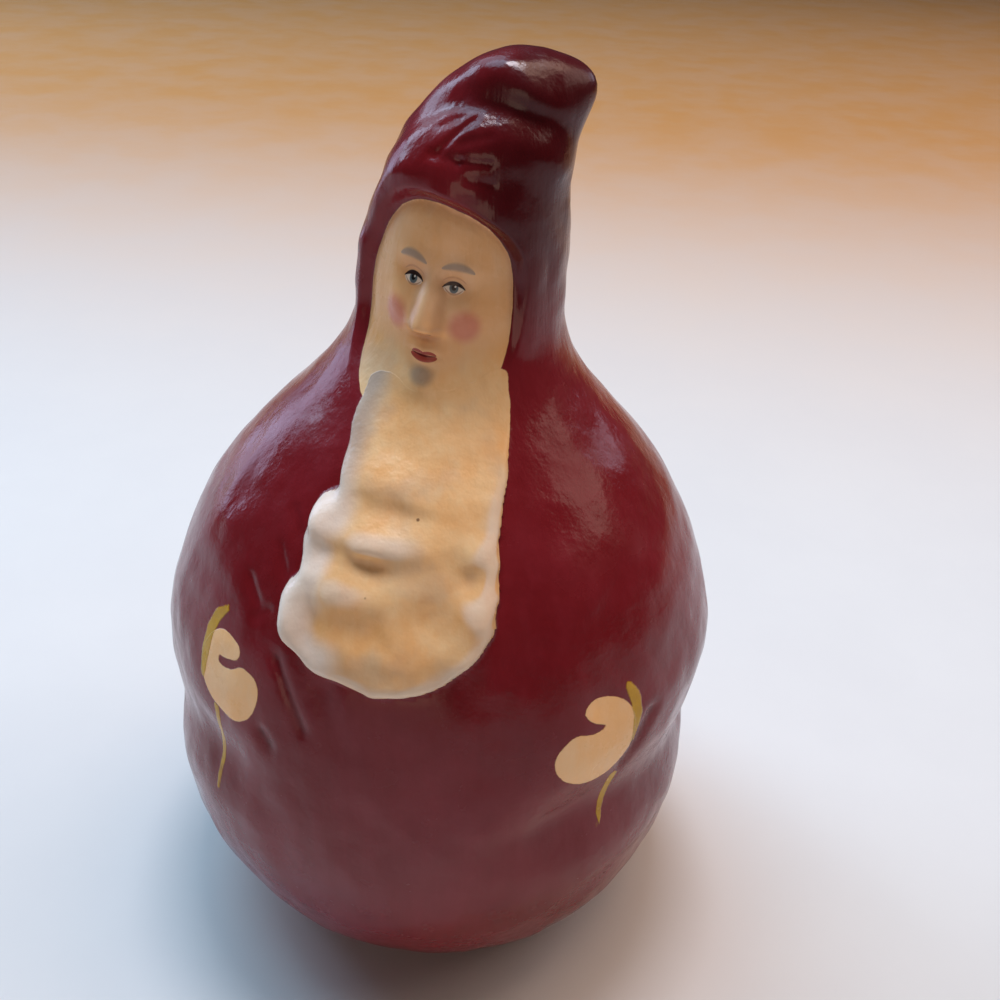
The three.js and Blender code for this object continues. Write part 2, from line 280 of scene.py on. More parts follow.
@dataclass
class Outline:
    """A closed smooth line on the skin through a few places."""

    pairs: Sequence[Pair]
    steps: int = 8

    def loop(self, gourd: Gourd) -> Array:
        """The line as points in millimetres, its first point repeated at the end."""
        corners = np.array([gourd.on_skin(pair) for pair in self.pairs])
        before, after, beyond = (np.roll(corners, shift, axis=0) for shift in (1, -1, -2))
        gaps = [np.linalg.norm(b - a, axis=1)[:, None] ** 0.5 for a, b in
                ((before, corners), (corners, after), (after, beyond))]
        here = (after - corners) / gaps[1]
        start = (corners - before) / gaps[0] - (after - before) / (gaps[0] + gaps[1]) + here
        end = here - (beyond - corners) / (gaps[1] + gaps[2]) + (beyond - after) / gaps[2]
        start, end = start * gaps[1], end * gaps[1]
        points = []
        for step in range(self.steps):
            t = step / self.steps
            points.append(
                (2 * t**3 - 3 * t**2 + 1) * corners + (t**3 - 2 * t**2 + t) * start
                + (3 * t**2 - 2 * t**3) * after + (t**3 - t**2) * end
            )
        line = np.stack(points, 1).reshape(-1, 2)
        return np.concatenate([line, line[:1]])

    def depth(self, gourd: Gourd, places: Places) -> Array:
        """Millimetres inside the line, negative outside it."""
        loop = self.loop(gourd)
        near = np.ones(places.across.shape, bool)
        for value, column in ((places.across, 0), (places.length, 1)):
            near &= (value > loop[:, column].min() - FAR) & (value < loop[:, column].max() + FAR)
        depth = np.full(places.across.shape, -FAR)
        depth[near] = self.depth_near(loop, places.across[near], places.length[near])
        return depth

    @staticmethod
    def depth_near(loop: Array, across: Array, length: Array) -> Array:
        """The depth for places in or close to the line's own box."""
        inside = np.zeros(across.shape, bool)
        for a, b in zip(loop[:-1], loop[1:]):
            if a[1] == b[1]:
                continue
            spans = (a[1] > length) != (b[1] > length)
            cross = a[0] + (b[0] - a[0]) * (length - a[1]) / (b[1] - a[1])
            inside ^= spans & (across < cross)
        gap = distance_to_path(across, length, loop, np.zeros(len(loop)))
        return np.maximum(np.where(inside, gap, -gap), -FAR)


def oval(centre: Pair, reach: Pair, squareness: float, lean: float, corners: int = 16) -> Outline:
    """An oval, a little squared, given by its middle, half width and half height, that leans to the right."""
    pairs = []
    for turn in np.linspace(0.0, 2 * math.pi, corners, endpoint=False):
        side, rise = (
            half * math.copysign(abs(part) ** (2 / squareness), part)
            for half, part in zip(reach, (math.cos(turn), math.sin(turn)))
        )
        pairs.append((centre[0] + side + lean * rise, centre[1] + rise))
    return Outline(pairs)


def distance_to_path(across: Array, length: Array, path: Array, reach: Array) -> Array:
    """Millimetres from each place to a path, less the path's own half width there.

    Args:
        across: Places on the skin, in millimetres round it.
        length: The same places, in millimetres up the front.
        path: Points of the path in millimetres, one to a row.
        reach: Half width of the path at each of its points.

    Returns:
        One distance for each place, negative inside the path's width.
    """
    nearest = np.full(across.shape, np.inf)
    for i in range(len(path) - 1):
        edge = path[i + 1] - path[i]
        x, y = across - path[i][0], length - path[i][1]
        along = within((x * edge[0] + y * edge[1]) / max(edge @ edge, 1e-9))
        gap = np.hypot(x - along * edge[0], y - along * edge[1])
        nearest = np.minimum(nearest, gap - reach[i] - along * (reach[i + 1] - reach[i]))
    return nearest


def creased(gourd: Gourd, places: Places, lines: Sequence[tuple[Pair, Pair, float, float]]) -> Array:
    """How deep the places lie in creases given by their two ends, half width and depth in millimetres."""
    sunk = np.zeros(places.across.shape)
    for start, end, width, depth in lines:
        path = np.array([gourd.on_skin(start), gourd.on_skin(end)])
        gap = distance_to_path(places.across, places.length, path, np.zeros(2))
        sunk += depth * dome(gap / (width * gourd.unit))
    return sunk


def rough(spots: Array, size: float) -> Array:
    """Smooth noise at points in millimetres, about -0.5 to 0.5, with lumps of the given size."""
    return np.array([noise.noise(Vector(spot) / size) for spot in spots])


@dataclass
class Beard:
    """A lumpy slab with a rounded edge, which thins out upwards into the cheeks."""

    outline: Outline = field(default_factory=lambda: Outline([
        (-8.3, 70.5), (-8.6, 66), (-8.8, 62.8), (-11.1, 60.4), (-11.1, 57.6), (-12.6, 53.2), (-12.1, 50.7),
        (-9.4, 48.7), (-5.4, 48.2), (-2.4, 47.3), (0.8, 48), (4.6, 49.9), (7.2, 52.3), (8.1, 55.8),
        (7.4, 60.5), (7.1, 66), (6.7, 69.6), (6.2, 73), (2.4, 72), (-2.2, 70.8), (-6.2, 71.4),
    ]))
    depth: float = 2.4
    edge: float = 2.4
    scallop: float = 0.8
    scallop_size: float = 4.2
    fade: Pair = (62.0, 70.5)
    lump_stretch: float = 1.3
    lumps: Sequence[tuple[float, float, float, float, float]] = (
        (-5.4, 68.4, 1.4, 4.5, 0.7), (-9.1, 60.6, 1.6, 1.5, 1.2), (-11, 52, 1.5, 2.1, 1.2),
        (-3.2, 60.2, 4.2, 1.2, 1.3), (-6.4, 56.2, 2.8, 1.5, 1.1), (5.7, 56, 1.7, 1.6, 1.0),
        (5.7, 60.2, 1.5, 1.2, 0.7), (-1.2, 51.6, 4.4, 1.8, 0.5), (-3.6, 64.6, 3.6, 1.3, 0.8),
        (-2.6, 66.2, 2.4, 1, -0.5), (-2.4, 62.3, 3.4, 0.9, -0.9), (-4.2, 58.2, 2.4, 1.1, -1.2),
        (5, 58, 1.2, 1, -0.8), (-8.9, 53.2, 1.1, 2.4, -0.7), (-8.2, 58.4, 1.3, 1.1, -0.7),
        (3.2, 54.5, 2.2, 1.4, -0.7), (-4.1, 53.4, 2.4, 1.2, -0.7),
    )

    def depth_in(self, gourd: Gourd, places: Places) -> Array:
        """Millimetres inside the beard's scalloped edge, negative outside it."""
        depth = self.outline.depth(gourd, places)
        near = depth > 1 - FAR
        spots = np.stack([places.across[near], places.length[near], np.zeros(near.sum())], -1)
        depth[near] += self.scallop * rough(spots, self.scallop_size)
        return depth

    def relief(self, gourd: Gourd, places: Places, depth: Array) -> Array:
        """How far the beard stands proud, its lumps given by across, level, half width, half height, rise."""
        swell = np.zeros(depth.shape)
        for across, level, width, height, rise in self.lumps:
            at = gourd.on_skin((across, level))
            x = (places.across - at[0]) / (width * gourd.unit)
            swell += rise * dome(x, (places.length - at[1]) / (height * gourd.unit * self.lump_stretch))
        fade = 1 - smoothstep(places.level, *self.fade)
        return np.where(depth > 0, rounded(depth, self.edge) * (self.depth + swell) * fade, 0.0)


@dataclass
class Face:
    """The face in the hood's oval opening, in thirds: hood to brow, brow to nose base, nose base to chin.

    Its forms are given by across, up, half width and half height in thirds, and rise in millimetres. A form
    to the side of the middle stands on both sides.
    """

    outline: Outline = field(default_factory=lambda: oval((-2.7, 77.4), (9.3, 9.5), 2.35, 0.1))
    axis: float = -2.2
    chin_level: float = 70.4
    third: float = 5.8
    nose_depth: float = 2.6
    hood_depth: float = 1.8
    hood_edge: float = 1.6
    rim_share: float = 0.3
    rim_right: float = 0.35
    forms: Sequence[tuple[float, float, float, float, float]] = (
        (0.38, 0.02, 0.34, 0.16, 0.45), (0, 0.45, 0.8, 0.4, 0.5), (0.4, -0.27, 0.3, 0.17, -0.7),
        (0.4, -0.29, 0.15, 0.1, 0.5), (0.62, -0.72, 0.3, 0.3, 0.7), (0, -1.3, 0.26, 0.09, 0.5),
        (0, -1.46, 0.2, 0.09, 0.45), (0, -1.85, 0.3, 0.2, 0.6), (0.13, -0.9, 0.08, 0.1, 0.35),
        (0, -1.38, 0.24, 0.03, -0.35), (0, -1.16, 0.05, 0.1, -0.2),
    )

    def brow(self, gourd: Gourd) -> Array:
        """The middle of the brow on the skin, from which the face is laid out."""
        return gourd.on_skin((self.axis, self.chin_level + 2 * self.third))

    def nose(self, x: Array, y: Array) -> Array:
        """The nose widens and rises from the brow down to its base."""
        down = within(-y)
        width = 0.12 + 0.18 * down**1.3
        rise = self.nose_depth * smoothstep(down, -0.15, 0.9) * smoothstep(y, -1.12, -0.9)
        return rise * dome(x / width) * (1 - smoothstep(y, -0.1, 0.25))

    def relief(self, gourd: Gourd, places: Places, depth: Array) -> Array:
        """The face lies back inside the hood, whose rim stands up round it."""
        brow = self.brow(gourd)
        size = self.third * gourd.unit
        x, y = (places.across - brow[0]) / size, (places.length - brow[1]) / size
        forms = self.nose(x, y)
        for across, up, width, height, rise in self.forms:
            for side in (-across, across) if across else (0.0,):
                forms += rise * dome((x - side) / width, (y - up) / height)
        chin = float(gourd.look_up("level", self.chin_level, "length"))
        hooded = smoothstep(places.length, chin, brow[1])
        leftward = smoothstep(brow[0] - places.across, -4 * gourd.unit, 6 * gourd.unit)
        beside = leftward * smoothstep(places.length, chin - 4 * gourd.unit, chin + 4 * gourd.unit)
        sunk = self.hood_depth * np.maximum(hooded, beside)
        brim = dome((depth + 2 * self.hood_edge) / self.hood_edge)
        sided = self.rim_right + (1 - self.rim_right) * leftward
        rim = self.rim_share * self.hood_depth * brim * hooded * sided
        wall = smoothstep(depth, -self.hood_edge, 0)
        return forms * smoothstep(depth, 0, self.hood_edge) - sunk * wall + rim


@dataclass
class Sleeve:
    """One sleeve, swelling over a fold at its lower edge."""

    side: int
    edge: float
    hang: float
    swell: float
    fold: float
    top: Pair
    fold_width: float
    depth: float = 1.8
    inner: Pair = (18.0, 36.0)
    outer: Pair = (85.0, 140.0)
    rise: float = 9.0

    def relief(self, places: Places) -> Array:
        """How far the sleeve stands proud, and how deep the fold under it lies."""
        angle = self.side * places.turn
        around = smoothstep(angle, *self.inner) * (1 - smoothstep(angle, *self.outer))
        above = places.level - self.edge + self.hang * smoothstep(angle, self.inner[1], self.outer[0])
        upward = smoothstep(above, -1.6, self.rise) * (1 - smoothstep(places.level, *self.top))
        under = self.fold * dome((above + self.fold_width) / self.fold_width)
        return around * (self.depth * self.swell * upward - under)


@dataclass
class Robe:
    """The hooded robe: two sleeves, creases, finer wrinkles and the fold of the hat.

    Creases and wrinkles are given by their two ends, half width in per cent of the height, and depth.
    """

    sleeves: Sequence[Sleeve] = (
        Sleeve(-1, 36.5, 5.0, 0.35, 1.5, (42.0, 66.0), 4.0),
        Sleeve(1, 34.8, 0.6, 0.8, 2.4, (54.0, 74.0), 4.6),
    )
    creases: Sequence[tuple[Pair, Pair, float, float]] = (
        ((-13, 47.6), (-9.6, 41.6), 0.7, 0.45), ((-7.6, 46.4), (-5.2, 41), 1.6, 0.4),
        ((-14.6, 39), (-13.8, 38.2), 0.9, 0.6), ((27.4, 41.6), (25.4, 35.6), 0.8, 0.6),
    )
    wrinkles: Sequence[tuple[Pair, Pair, float, float]] = (
        ((-5.4, 89.6), (-2.7, 90.3), 0.36, 0.34), ((-2.7, 90.3), (-0.3, 91.4), 0.34, 0.26),
        ((-4.8, 90), (-3.9, 92.4), 0.4, 0.3), ((-3.4, 91.2), (-1.6, 92.6), 0.36, 0.22),
        ((-6.4, 91), (-5.2, 92), 0.45, 0.24), ((-1.2, 89.6), (0.8, 90.1), 0.4, 0.2),
        ((-17.6, 52.9), (-16.2, 51.6), 0.6, 0.4), ((-16.2, 50.2), (-14.6, 51.4), 0.6, 0.35),
        ((-14.4, 56.4), (-13.4, 55), 0.7, 0.4), ((-13.6, 59.4), (-12.6, 58.2), 0.7, 0.35),
    )
    fold_depth: float = 1.3
    fold_rise: float = 21.0
    fold_slant: float = 14.5
    fold_width: float = 1.9
    lobe_rise: float = 0.8

    def hat_fold(self, gourd: Gourd, places: Places) -> Array:
        """A crease round the front of the hat between two swelling lobes."""
        around = 1 - smoothstep(np.abs(places.turn), 50, 88)
        rise = (places.length - float(gourd.look_up("stop", 2.0, "length"))) / gourd.unit
        gap = (rise - self.fold_rise - self.fold_slant * places.turn / 180) / self.fold_width
        lobes = self.lobe_rise * (dome((gap - 2.2) / 1.6) + dome((gap + 2.2) / 1.6))
        shape = around * (lobes - self.fold_depth * dome(gap)) * (1 - smoothstep(places.stop, 2.7, 2.95))
        return np.where(places.stop >= 2, shape, 0.0)

    def relief(self, gourd: Gourd, places: Places) -> Array:
        """How far the robe stands proud of the bare gourd."""
        proud = self.hat_fold(gourd, places)
        for sleeve in self.sleeves:
            proud += sleeve.relief(places)
        return proud - creased(gourd, places, self.creases)


@dataclass
class Hands:
    """Two mittens with thumbs, each with a thin staff painted at its outer edge."""

    mittens: Sequence[Outline] = (
        Outline([
            (-21.1, 46.9), (-19.2, 47.2), (-17.6, 46.7), (-17.8, 45.6), (-19.6, 44.7), (-21, 44.4),
            (-20.8, 43.7), (-18.9, 44), (-17, 45), (-15.2, 44.4), (-15, 42.6), (-16.2, 40), (-18.4, 38.5),
            (-21.4, 38.8), (-23.6, 41), (-23.7, 44),
        ]),
        Outline([
            (21, 45.8), (18.8, 46), (18.1, 45), (19.4, 43.7), (21.3, 42.6), (19.6, 42.5), (17.2, 43),
            (15.7, 41.4), (15.8, 39.4), (17.4, 37.3), (20.6, 35.6), (23.4, 35.8), (25, 38), (25.2, 41),
            (23.8, 44),
        ]),
    )
    staffs: Sequence[tuple[tuple[float, float, float], ...]] = (
        ((-20.2, 49.3, 0.4), (-21.8, 47.9, 0.85), (-22.8, 46.2, 0.9), (-23.4, 43.4, 0.9), (-23.6, 40.9, 0.4)),
        ((-21.4, 38.4, 0.5), (-21.7, 33, 0.55), (-21.9, 27, 0.35)),
        ((23.2, 46.2, 0.5), (24.4, 44.6, 0.9), (25.2, 42.5, 0.8), (25.4, 39, 0.4)),
        ((24.8, 34, 0.8), (24.3, 30.4, 0.75), (23.7, 26.8, 0.3)),
    )

    def mitten_depth(self, gourd: Gourd, places: Places) -> Array:
        """Millimetres inside either mitten."""
        return np.max([mitten.depth(gourd, places) for mitten in self.mittens], axis=0)

    def staff_depth(self, gourd: Gourd, places: Places) -> Array:
        """Millimetres inside any stroke of the staffs, each given by across, level and half width."""
        strokes = []
        for stroke in self.staffs:
            path = np.array([gourd.on_skin(point[:2]) for point in stroke])
            reach = np.array([point[2] for point in stroke])
            strokes.append(-distance_to_path(places.across, places.length, path, reach))
        return np.max(strokes, axis=0)


@dataclass
class Figure:
    """The whole gourd figure as one closed skin.

    Its unevenness is noise of three sizes in millimetres: robe_ripples and beard_ripples are the depths from
    the largest size down, and hat_ripples what the hat has more of the two smaller ones.
    """

    gourd: Gourd
    beard: Beard = field(default_factory=Beard)
    face: Face = field(default_factory=Face)
    robe: Robe = field(default_factory=Robe)
    hands: Hands = field(default_factory=Hands)
    columns: int = 320
    rings: int = 300
    gather: float = 0.5
    front_turn: float = -6.0
    ripple_sizes: Sequence[float] = (11.0, 4.2, 2.2)
    robe_ripples: Sequence[float] = (0.42, 0.16)
    hat_ripples: Sequence[float] = (0.12, 0.05)
    beard_ripples: Sequence[float] = (0.45, 0.36, 0.14)
    hollow_reach: float = 1.6
    ring_stops: Sequence[Pair] = (
        (0.0, -FOOT_STOP), (0.01, 0.0), (0.17, 1.0), (0.81, 2.4), (0.96, 2.9), (0.985, 2.98), (1.0, 3.0),
    )

    def ripples(self, places: Places, pale: Array) -> Array:
        """The gourd's own unevenness under the paint, strongest on the robe."""
        spots = self.gourd.surface(places, np.zeros(places.stop.shape))
        broad, close, fine = (rough(spots, size) for size in self.ripple_sizes)
        hat = smoothstep(places.stop, 1.95, 2.15)
        robe = self.robe_ripples[0] * broad + (self.robe_ripples[1] + self.hat_ripples[0] * hat) * close
        robe += self.hat_ripples[1] * hat * fine - creased(self.gourd, places, self.robe.wrinkles)
        whiskers = sum(depth * wave for depth, wave in zip(self.beard_ripples, (broad, close, fine)))
        ready = smoothstep(places.stop, 0.15, 0.6) * (1 - smoothstep(places.stop, 2.88, 3.0))
        below_face = 1 - smoothstep(places.level, *self.beard.fade)
        beard = whiskers * below_face * smoothstep(pale, 0.2, 2.0)
        return ready * (robe * (1 - 0.75 * smoothstep(pale, -1.5, 0.5)) + beard)

    def relief(self, places: Places) -> Array:
        """Everything that stands proud of the bare gourd."""
        beard = self.beard.depth_in(self.gourd, places)
        face = self.face.outline.depth(self.gourd, places)
        proud = self.robe.relief(self.gourd, places)
        proud += self.face.relief(self.gourd, places, face)
        proud += self.beard.relief(self.gourd, places, beard)
        return proud * (places.stop > 0)

    def pale_depth(self, places: Places) -> Array:
        """Millimetres inside the pale paint of face and beard."""
        face = self.face.outline.depth(self.gourd, places)
        return np.maximum(self.beard.depth_in(self.gourd, places), face)

    def round_places(self, ball: Array) -> Places:
        """Lays the points of a unit ball out on the gourd, closer together at the front and the face."""
        around = np.degrees(np.arctan2(ball[:, 0], -ball[:, 1])) / 180
        turn = 180 * (around - self.gather * np.sin(math.pi * around) / math.pi) + self.front_turn
        rise = 1 - np.arccos(np.clip(ball[:, 2], -1.0, 1.0)) / math.pi
        shares, stops = zip(*self.ring_stops)
        turn = (turn + 180) % 360 - 180
        return self.gourd.places(turn, np.interp(rise, shares, stops))

    def hollows(self, places: Places, proud: Array) -> Array:
        """How far the skin lies under its surroundings, in millimetres."""
        reach = self.hollow_reach
        around, robe_around = np.zeros(proud.shape), np.zeros(proud.shape)
        for side, up in ((reach, 0), (-reach, 0), (0, reach), (0, -reach)):
            turn = places.turn + np.degrees(side / np.maximum(places.radius, 1.0))
            spots = self.gourd.places(turn, self.gourd.look_up("length", places.length + up, "stop"))
            around += self.relief(spots) / 4
            robe_around += self.robe.relief(self.gourd, spots) / 4
        pale = self.pale_depth(places)
        return np.where(pale > 0, around - proud, robe_around - self.robe.relief(self.gourd, places))

    def traces(self, places: Places, proud: Array) -> dict[Trace, Array]:
        """What the paint is laid out by, for each vertex."""
        front = np.cos(np.radians(places.turn))
        return {
            Trace.SKIN: np.stack([places.across, places.length, front], -1),
            Trace.BEARD: self.beard.depth_in(self.gourd, places),
            Trace.FACE: self.face.outline.depth(self.gourd, places),
            Trace.MITTEN: self.hands.mitten_depth(self.gourd, places),
            Trace.STAFF: self.hands.staff_depth(self.gourd, places),
            Trace.HOLLOW: self.hollows(places, proud),
        }

    def build(self) -> Thing:
        """Shapes a ball into the figure and returns its object, with the paint's layout on its mesh."""
        form = bmesh.new()
        bmesh.ops.create_uvsphere(form, u_segments=self.columns, v_segments=self.rings, radius=1.0)
        ball = np.array([vertex.co for vertex in form.verts])
        places = self.round_places(ball)
        proud = self.relief(places)
        surface = self.gourd.surface(places, proud + self.ripples(places, self.pale_depth(places))) * MM
        for vertex, point in zip(form.verts, surface):
            vertex.co = point
        for face in form.faces:
            face.smooth = True
        bmesh.ops.recalc_face_normals(form, faces=form.faces)
        mesh = bpy.data.meshes.new("painted_gourd_skin")
        form.to_mesh(mesh)
        form.free()
        for trace, values in self.traces(places, proud).items():
            kind, name = ("FLOAT_VECTOR", "vector") if values.ndim > 1 else ("FLOAT", "value")
            layer = mesh.attributes.new(trace.value, kind, "POINT")
            layer.data.foreach_set(name, values.astype(np.float32).ravel())
        return link(mesh, "painted_gourd_skin")


def link(data: bpy.types.ID, name: str) -> Thing:
    """Puts new data in the scene as an object."""
    made = bpy.data.objects.new(name, data)
    bpy.context.scene.collection.objects.link(made)
    return made


class Graph:
    """Adds nodes to one tree and joins them."""

    def __init__(self, tree: Tree) -> None:
        """Starts on an empty tree."""
        self.tree = tree

    def node(self, kind: str, settings: dict | None = None, **inputs: object) -> Node:
        """Adds one node.

        Args:
            kind: Its type's name after ShaderNode.
            settings: Properties to set on it.
            inputs: Values or sockets for its inputs, with _ for a space in an input's name.

        Returns:
            The node.
        """
        made = self.tree.nodes.new("ShaderNode" + kind)
        for name, value in (settings or {}).items():
            setattr(made, name, value)
        for name, value in inputs.items():
            self.feed(made.inputs[name.replace("_", " ")], value)
        return made

    def feed(self, socket: Socket, value: object) -> None:
        """Joins a socket to an input, or sets the input's own value."""
        if isinstance(value, Socket):
            self.tree.links.new(value, socket)
        else:
            socket.default_value = value

    def sum(self, operation: str, *terms: object, clamp: bool = False) -> Socket:
        """One step of arithmetic on numbers."""
        made = self.node("Math", {"operation": operation, "use_clamp": clamp})
        for socket, term in zip(made.inputs, terms):
            self.feed(socket, term)
        return made.outputs[0]

    def times(self, *terms: object) -> Socket:
        """The product of two numbers."""
        return self.sum("MULTIPLY", *terms)

    def parts(self, vector: object) -> Sequence[Socket]:
        """The three parts of a vector."""
        return self.node("SeparateXYZ", Vector=vector).outputs

    def vector(self, operation: str, *terms: object) -> Node:
        """One step of arithmetic on vectors."""
        made = self.node("VectorMath", {"operation": operation})
        for socket, term in zip(made.inputs, terms):
            self.feed(socket, term)
        return made

    def ramp(
        self, value: object, low: object, high: object, start: object = 0.0, end: object = 1.0,
    ) -> Socket:
        """Rises smoothly from start to end as a value goes from low to high."""
        made = self.node(
            "MapRange", {"interpolation_type": "SMOOTHSTEP"},
            Value=value, From_Min=low, From_Max=high, To_Min=start, To_Max=end,
        )
        return made.outputs[0]

    def fall(self, value: object, low: object, high: object) -> Socket:
        """Falls smoothly from 1 at low to 0 at high."""
        return self.ramp(value, low, high, 1.0, 0.0)

    def soft_edge(self, ratio: object, softness: object) -> Socket:
        """Falls from 1 to 0 where a ratio passes one, over a width of the given softness to each side."""
        return self.fall(ratio, self.sum("SUBTRACT", 1.0, softness), self.sum("ADD", 1.0, softness))

    def blend(self, mask: object, under: object, over: object) -> Socket:
        """One colour laid over another by a mask."""
        made = self.node("Mix", {"data_type": "RGBA"})
        for index, value in ((0, mask), (6, under), (7, over)):
            self.feed(made.inputs[index], value)
        return made.outputs[2]

    def mingle(self, mask: object, under: object, over: object) -> Socket:
        """One number laid over another by a mask."""
        made = self.node("Mix", {"data_type": "FLOAT"})
        for index, value in ((0, mask), (2, under), (3, over)):
            self.feed(made.inputs[index], value)
        return made.outputs[0]

    def noise(self, place: object, scale: float, detail: float = 3.0, roughness: float = 0.5) -> Socket:
        """Cloudy noise, 0 to 1."""
        made = self.node("TexNoise", Vector=place, Scale=scale, Detail=detail, Roughness=roughness)
        return made.outputs["Fac"]

    def trace(self, trace: Trace) -> Node:
        """Reads one of the values that the skin's mesh carries."""
        return self.node("Attribute", {"attribute_name": trace.value})

    def group(self, tree: Tree, **inputs: object) -> Socket:
        """Places a node group and returns its first output."""
        made = self.node("Group", {"node_tree": tree})
        for name, value in inputs.items():
            self.feed(made.inputs[name.replace("_", " ")], value)
        return made.outputs[0]


def new_group(name: str, inputs: dict[str, str], output: str) -> tuple[Graph, Sequence[Socket], Socket]:
    """Starts a shader node group.

    Args:
        name: The group's name.
        inputs: Each input's name and kind of socket.
        output: The name of its one output, a number.

    Returns:
        The group's graph, the values given to it, and the socket that takes the result.
    """
    tree = bpy.data.node_groups.new(name, "ShaderNodeTree")
    for label, kind in inputs.items():
        tree.interface.new_socket(label, in_out="INPUT", socket_type=kind)
    tree.interface.new_socket(output, in_out="OUTPUT", socket_type="NodeSocketFloat")
    entry = tree.nodes.new("NodeGroupInput")
    leave = tree.nodes.new("NodeGroupOutput")
    return Graph(tree), entry.outputs, leave.inputs[0]


class Brushes:
    """The brush marks that the paint is made of, each a shader node group."""

    def __init__(self) -> None:
        """Builds each group once."""
        self.spot = self.make_spot()
        self.stroke = self.make_stroke()

    @staticmethod
    def make_spot() -> Tree:
        """A soft oval touch of paint."""
        graph, given, result = new_group("soft_spot", {
            "Place": "NodeSocketVector", "Centre": "NodeSocketVector", "Reach": "NodeSocketVector",
            "Softness": "NodeSocketFloat",
        }, "Mask")
        offset = graph.vector("SUBTRACT", given["Place"], given["Centre"]).outputs[0]
        shares = graph.vector("DIVIDE", offset, given["Reach"]).outputs[0]
        flat = graph.vector("MULTIPLY", shares, (1.0, 1.0, 0.0)).outputs[0]
        gone = graph.vector("LENGTH", flat).outputs["Value"]
        graph.feed(result, graph.soft_edge(gone, given["Softness"]))
        return graph.tree

    @staticmethod
    def make_stroke() -> Tree:
        """A bowed stroke, thickest in the middle and drawn out to a point at both ends."""
        graph, given, result = new_group("bowed_stroke", {
            "Place": "NodeSocketVector", "Centre": "NodeSocketVector", "Half Width": "NodeSocketFloat",
            "Rise": "NodeSocketFloat", "Thickness": "NodeSocketFloat", "Softness": "NodeSocketFloat",
        }, "Mask")
        parts = graph.parts(graph.vector("SUBTRACT", given["Place"], given["Centre"]).outputs[0])
        share = graph.sum("DIVIDE", parts[0], given["Half Width"])
        bow = graph.sum("SUBTRACT", 1.0, graph.sum("POWER", graph.sum("ABSOLUTE", share), 2.0), clamp=True)
        gap = graph.sum("SUBTRACT", parts[1], graph.times(bow, given["Rise"]))
        taper = graph.sum("SQRT", bow)
        stroke_thickness_and_hat_shade = graph.sum("MAXIMUM", graph.times(taper, given["Thickness"]), 0.0001)
        ratio = graph.sum("DIVIDE", graph.sum("ABSOLUTE", gap), stroke_thickness_and_hat_shade)
        mask = graph.soft_edge(ratio, given["Softness"])
        graph.feed(result, graph.times(mask, graph.ramp(bow, 0.0, 0.02)))
        return graph.tree


@dataclass(frozen=True)
class Paint:
    """One tin of gloss paint: its main colour, its clouds, a darker colour for the painted shade in its
    hollows, and its roughness.
    """

    main: Colour
    cloud: Colour
    deep: Colour
    roughness: float


class Tin(Enum):
    """The paints that the figure is finished in."""

    # The third colour of each paint is the painted shade laid in its hollows; the robe's also shades the
    # right side of the hat.
    ROBE = Paint(srgb(112, 22, 27), srgb(126, 35, 43), srgb(40, 7, 10), 0.2)
    BEARD = Paint(srgb(237, 180, 116), srgb(242, 206, 154), srgb(208, 166, 128), 0.28)
    FLESH = Paint(srgb(238, 180, 120), srgb(240, 196, 150), srgb(194, 130, 86), 0.24)
    MITTEN = Paint(srgb(255, 200, 134), srgb(253, 210, 158), srgb(212, 156, 108), 0.34)
    STAFF = Paint(srgb(208, 164, 30), srgb(186, 138, 26), srgb(140, 96, 24), 0.36)


class Mark(Enum):
    """The two kinds of brush mark that the face is painted with."""

    SPOT = "spot"
    STROKE = "stroke"


@dataclass(frozen=True)
class Touch:
    """One touch of the brush on the face, laid out in thirds of the face from the middle of the brow.

    Reach is half the width and half the height of a spot, or half the width and the thickness of a stroke.
    A paired touch is given for one side and stands on both.
    """

    mark: Mark
    colour: Colour
    centre: Pair
    reach: Pair
    strength: float
    softness: float = 0.3
    rise: float = 0.0
    paired: bool = True
